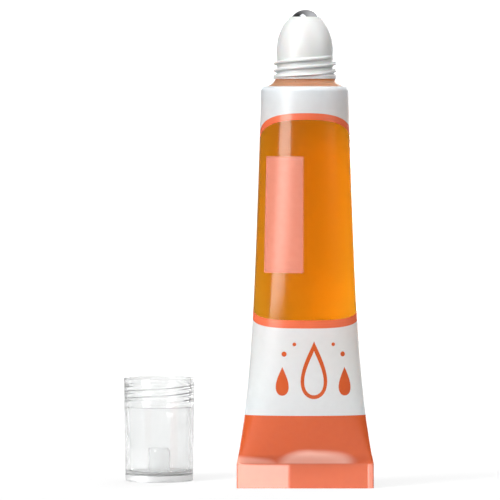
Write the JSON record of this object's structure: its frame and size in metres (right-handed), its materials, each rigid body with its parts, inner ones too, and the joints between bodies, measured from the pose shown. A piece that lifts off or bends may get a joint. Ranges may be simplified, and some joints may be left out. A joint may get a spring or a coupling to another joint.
{
  "type": "cuticle oil rollerball",
  "caption": "Squeeze tube with a captive steel ball in a domed roller head, sealed flat at its far end, with a clear screw cap standing beside it.",
  "frame": {"origin": "middle of the flat edge face at the tube's sealed end, on the tube's axis", "axes": "+Z along the tube towards the ball, +X along the wide side of the seal, +Y to the back, where the cap stands"},
  "size_m": [0.054, 0.0417, 0.1022],
  "materials": {
    "printed_film": "satin polyethylene film, printed",
    "cuticle_oil": "clear amber liquid",
    "clear_shoulder": "clear moulded",
    "white_housing": "satin moulded white",
    "natural_seat": "natural moulded",
    "steel_ball": "polished steel",
    "clear_cap": "clear moulded"
  },
  "bodies": {
    "tube": {"tube_sleeve": "printed_film", "oil_fill": "cuticle_oil", "tube_shoulder": "clear_shoulder", "roller_housing": "white_housing", "ball_seat": "natural_seat"},
    "ball": {"roller_ball": "steel_ball"},
    "cap": {"screw_cap": "clear_cap"}
  },
  "joints": [
    {"name": "ball_roll", "type": "hinge", "parent": "tube", "child": "ball", "pos_m": [0, 0, 0.09863], "axis": [1, 0, 0], "continuous": true},
    {"name": "cap_lift", "type": "slide", "parent": "tube", "child": "cap", "axis": [0, 0, 1], "range_m": [0, 0.05]}
  ]
}
